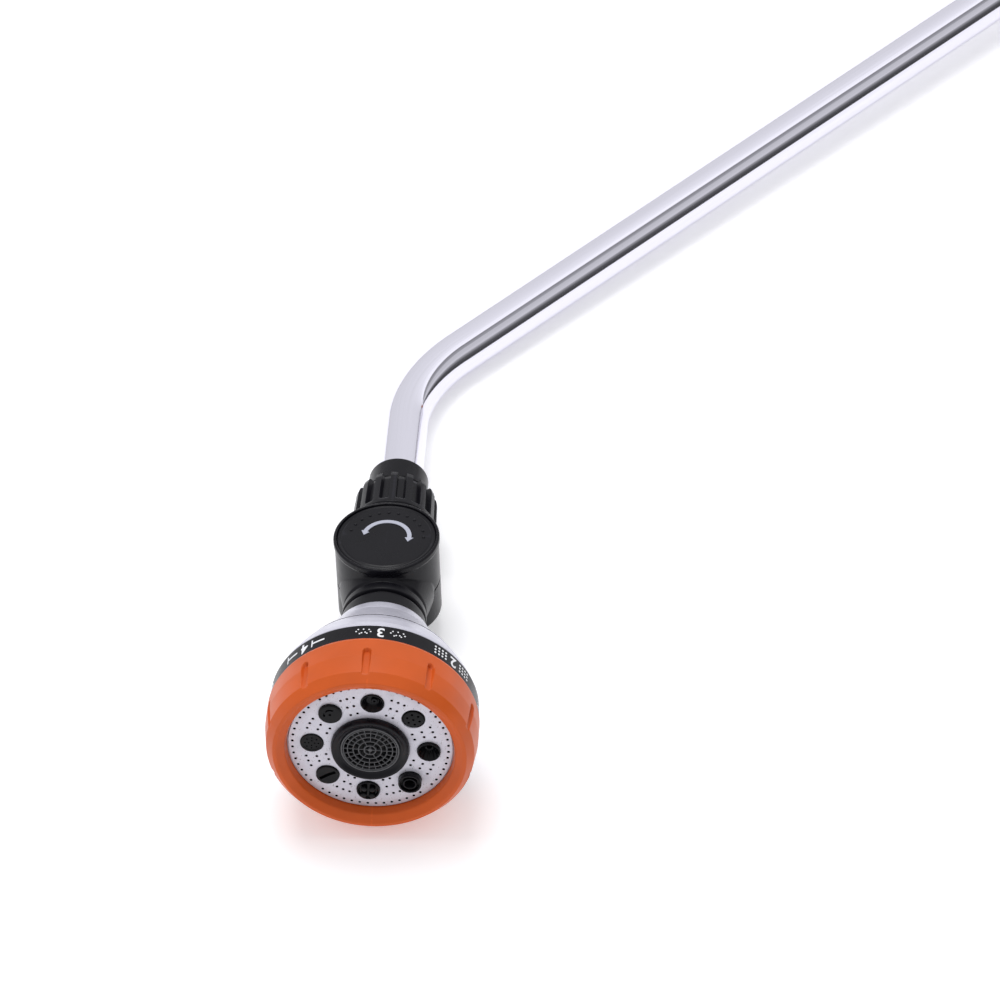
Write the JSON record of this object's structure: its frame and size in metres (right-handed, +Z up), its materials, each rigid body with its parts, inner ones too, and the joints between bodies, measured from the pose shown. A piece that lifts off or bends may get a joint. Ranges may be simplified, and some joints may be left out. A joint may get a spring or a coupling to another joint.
{
  "type": "watering wand",
  "caption": "Watering wand: bent aluminium tube with a tilting spray head, a turning pattern dial and a ball valve handle with a thumb lever.",
  "frame": {"origin": "on the hose nipple's axis, at the middle of its sealing land", "axes": "+X along the straight tube and the nipple, towards the hose; +Z up, away from the surface that the wand lies on, on the thumb lever's side"},
  "size_m": [0.7804, 0.1942, 0.0883],
  "materials": {
    "housing_black": "fine moulded texture, satin",
    "insert_black": "smooth moulded",
    "dial_orange": "fine moulded texture, satin",
    "shell_silver": "metallic silver pigment, satin",
    "plate_silver": "metallic silver pigment, fine scratches",
    "tube_aluminium": "polished and anodised",
    "seal_rubber": "smooth",
    "grip_rubber": "soft, matte",
    "steel": "turned",
    "brass": "turned",
    "seat_ptfe": "waxy",
    "print_white": "pad printed"
  },
  "bodies": {
    "handle": {"tube": "tube_aluminium", "collet": "housing_black", "tube_seal": "seal_rubber", "knuckle_lower": "housing_black", "pivot_seals": "seal_rubber", "pivot_screw": "steel", "pivot_washer": "steel", "valve_body": "housing_black", "valve_cap": "housing_black", "cap_seal": "seal_rubber", "valve_seats": "seat_ptfe", "stem_seal": "seal_rubber", "front_collar": "dial_orange", "grip_core": "housing_black", "grip_sleeve": "grip_rubber", "end_ring": "dial_orange", "inlet_nipple": "housing_black", "inlet_seal": "seal_rubber", "filter_screen": "steel"},
    "lock_nut": {"lock_nut": "housing_black"},
    "head": {"knuckle_upper": "housing_black", "pivot_cap": "housing_black", "cap_arrow": "print_white", "click_dots": "housing_black", "neck": "housing_black", "neck_seal": "seal_rubber", "shell_collar": "shell_silver", "back_shell": "shell_silver", "flow_cone": "insert_black", "cone_seal": "seal_rubber", "selector_disc": "insert_black", "port_seal": "seal_rubber", "port_spring": "steel", "detent_ball": "steel", "detent_spring": "steel", "dial_washer": "steel", "dial_screw": "steel"},
    "dial": {"bezel": "dial_orange", "label_ring": "housing_black", "face_plate": "plate_silver", "chamber_plate": "insert_black", "centre_ring": "housing_black", "aerator_mesh": "insert_black", "insert_cone": "insert_black", "insert_shower": "insert_black", "insert_mist": "insert_black", "insert_flat": "insert_black", "insert_soaker": "insert_black", "insert_fan": "insert_black", "insert_angle": "insert_black", "insert_jet": "insert_black"},
    "valve": {"valve_ball": "steel", "valve_stem": "brass", "thumb_lever": "dial_orange", "lever_screw": "steel"}
  },
  "joints": [
    {"name": "head_tilt", "type": "hinge", "parent": "handle", "child": "head", "pos_m": [-0.67588, -0.08215, 0.01881], "axis": [0.129, 0.1066, 0.9859], "range_deg": [-75, 90]},
    {"name": "dial_turn", "type": "hinge", "parent": "head", "child": "dial", "pos_m": [-0.73824, -0.14966, 0.03428], "axis": [-0.6691, -0.7244, 0.1659], "continuous": true},
    {"name": "lock_nut_turn", "type": "hinge", "parent": "handle", "child": "lock_nut", "pos_m": [-0.6558, -0.06041, 0.01384], "axis": [0.6691, 0.7244, -0.1659], "range_deg": [0, 270]},
    {"name": "valve_turn", "type": "hinge", "parent": "handle", "child": "valve", "pos_m": [-0.176, 0, 0.02], "axis": [0, 0, 1], "range_deg": [0, 90]}
  ]
}
